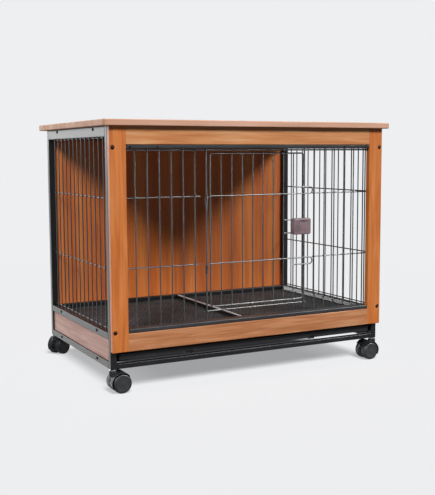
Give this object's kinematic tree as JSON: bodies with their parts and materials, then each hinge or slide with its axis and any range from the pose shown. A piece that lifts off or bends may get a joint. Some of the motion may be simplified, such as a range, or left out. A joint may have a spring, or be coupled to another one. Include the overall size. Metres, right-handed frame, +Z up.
{
  "type": "pet crate",
  "caption": "Furniture-style pet crate on swivel casters: wood-look boards on a steel tube frame, wire sides, a hinged wire door with a sliding latch, a perforated floor and a pull-out tray.",
  "frame": {"origin": "on the floor under the middle of the top panel", "axes": "+Z up, +X along the width towards the latch side, the door faces -Y"},
  "size_m": [0.814, 0.5337, 0.6465],
  "materials": {
    "wood_laminate": "satin wood-look laminate",
    "frame_black": "black powder coat",
    "wire_black": "black powder coat",
    "floor_black": "black powder coat",
    "tray_black": "moulded, matt",
    "bolt_black": "black oxide",
    "plug_black": "moulded",
    "stem_zinc": "zinc plated",
    "latch_plastic": "moulded, satin",
    "caster_black": "moulded, satin",
    "wheel_black": "moulded, satin"
  },
  "bodies": {
    "root": {"top_panel": "wood_laminate", "front_left_stile": "wood_laminate", "front_right_stile": "wood_laminate", "front_top_board": "wood_laminate", "front_bottom_board": "wood_laminate", "rear_panel": "wood_laminate", "left_lower_panel": "wood_laminate", "right_lower_panel": "wood_laminate", "rear_lower_panel": "wood_laminate", "front_left_post": "frame_black", "front_right_post": "frame_black", "rear_left_post": "frame_black", "rear_right_post": "frame_black", "left_top_rail": "frame_black", "left_mid_rail": "frame_black", "left_bottom_rail": "frame_black", "right_top_rail": "frame_black", "right_mid_rail": "frame_black", "right_bottom_rail": "frame_black", "rear_top_rail": "frame_black", "rear_mid_rail": "frame_black", "rear_bottom_rail": "frame_black", "front_top_rail": "frame_black", "front_bottom_rail": "frame_black", "grille_top_bar": "frame_black", "grille_bottom_bar": "frame_black", "floor_center_bar": "frame_black", "floor_ledges": "frame_black", "tray_runners": "frame_black", "top_brackets": "frame_black", "front_grille_left": "wire_black", "front_grille_right": "wire_black", "door_opening_wires": "wire_black", "left_wire_panel": "wire_black", "right_wire_panel": "wire_black", "floor_mesh_left": "floor_black", "floor_mesh_right": "floor_black", "stile_bolts": "bolt_black", "rail_bolts": "bolt_black", "post_plugs": "plug_black", "caster_stems": "stem_zinc"},
    "door": {"door_grille": "wire_black"},
    "latch": {"latch_grip": "latch_plastic", "latch_tongue": "latch_plastic"},
    "tray_body": {"tray": "tray_black"},
    "front_left_caster": {"front_left_caster_hood": "caster_black"},
    "front_left_wheel_a_body": {"front_left_wheel_a": "wheel_black"},
    "front_left_wheel_b_body": {"front_left_wheel_b": "wheel_black"},
    "front_right_caster": {"front_right_caster_hood": "caster_black"},
    "front_right_wheel_a_body": {"front_right_wheel_a": "wheel_black"},
    "front_right_wheel_b_body": {"front_right_wheel_b": "wheel_black"},
    "rear_left_caster": {"rear_left_caster_hood": "caster_black"},
    "rear_left_wheel_a_body": {"rear_left_wheel_a": "wheel_black"},
    "rear_left_wheel_b_body": {"rear_left_wheel_b": "wheel_black"},
    "rear_right_caster": {"rear_right_caster_hood": "caster_black"},
    "rear_right_wheel_a_body": {"rear_right_wheel_a": "wheel_black"},
    "rear_right_wheel_b_body": {"rear_right_wheel_b": "wheel_black"}
  },
  "joints": [
    {"name": "door_swing", "type": "hinge", "parent": "root", "child": "door", "pos_m": [-0.13, -0.2265, 0.38], "axis": [0, 0, -1], "range_deg": [0, 155]},
    {"name": "latch_slide", "type": "slide", "parent": "door", "child": "latch", "axis": [1, 0, 0], "range_m": [0, 0.014]},
    {"name": "tray_slide", "type": "slide", "parent": "root", "child": "tray_body", "axis": [0, -1, 0], "range_m": [0, 0.4]},
    {"name": "front_left_swivel", "type": "hinge", "parent": "root", "child": "front_left_caster", "pos_m": [-0.382, -0.2265, 0.045], "axis": [0, 0, 1], "continuous": true},
    {"name": "front_left_wheel_a_roll", "type": "hinge", "parent": "front_left_caster", "child": "front_left_wheel_a_body", "pos_m": [-0.365, -0.2265, 0.02375], "axis": [0, 1, 0], "continuous": true},
    {"name": "front_left_wheel_b_roll", "type": "hinge", "parent": "front_left_caster", "child": "front_left_wheel_b_body", "pos_m": [-0.365, -0.2265, 0.02375], "axis": [0, 1, 0], "continuous": true},
    {"name": "front_right_swivel", "type": "hinge", "parent": "root", "child": "front_right_caster", "pos_m": [0.382, -0.2265, 0.045], "axis": [0, 0, 1], "continuous": true},
    {"name": "front_right_wheel_a_roll", "type": "hinge", "parent": "front_right_caster", "child": "front_right_wheel_a_body", "pos_m": [0.365, -0.2265, 0.02375], "axis": [0, -1, 0], "continuous": true},
    {"name": "front_right_wheel_b_roll", "type": "hinge", "parent": "front_right_caster", "child": "front_right_wheel_b_body", "pos_m": [0.365, -0.2265, 0.02375], "axis": [0, -1, 0], "continuous": true},
    {"name": "rear_left_swivel", "type": "hinge", "parent": "root", "child": "rear_left_caster", "pos_m": [-0.382, 0.2325, 0.045], "axis": [0, 0, 1], "continuous": true},
    {"name": "rear_left_wheel_a_roll", "type": "hinge", "parent": "rear_left_caster", "child": "rear_left_wheel_a_body", "pos_m": [-0.36807, 0.24225, 0.02375], "axis": [-0.5736, 0.8192, 0], "continuous": true},
    {"name": "rear_left_wheel_b_roll", "type": "hinge", "parent": "rear_left_caster", "child": "rear_left_wheel_b_body", "pos_m": [-0.36807, 0.24225, 0.02375], "axis": [-0.5736, 0.8192, 0], "continuous": true},
    {"name": "rear_right_swivel", "type": "hinge", "parent": "root", "child": "rear_right_caster", "pos_m": [0.382, 0.2325, 0.045], "axis": [0, 0, 1], "continuous": true},
    {"name": "rear_right_wheel_a_roll", "type": "hinge", "parent": "rear_right_caster", "child": "rear_right_wheel_a_body", "pos_m": [0.37619, 0.21652, 0.02375], "axis": [0.9397, -0.342, 0], "continuous": true},
    {"name": "rear_right_wheel_b_roll", "type": "hinge", "parent": "rear_right_caster", "child": "rear_right_wheel_b_body", "pos_m": [0.37619, 0.21652, 0.02375], "axis": [0.9397, -0.342, 0], "continuous": true}
  ]
}
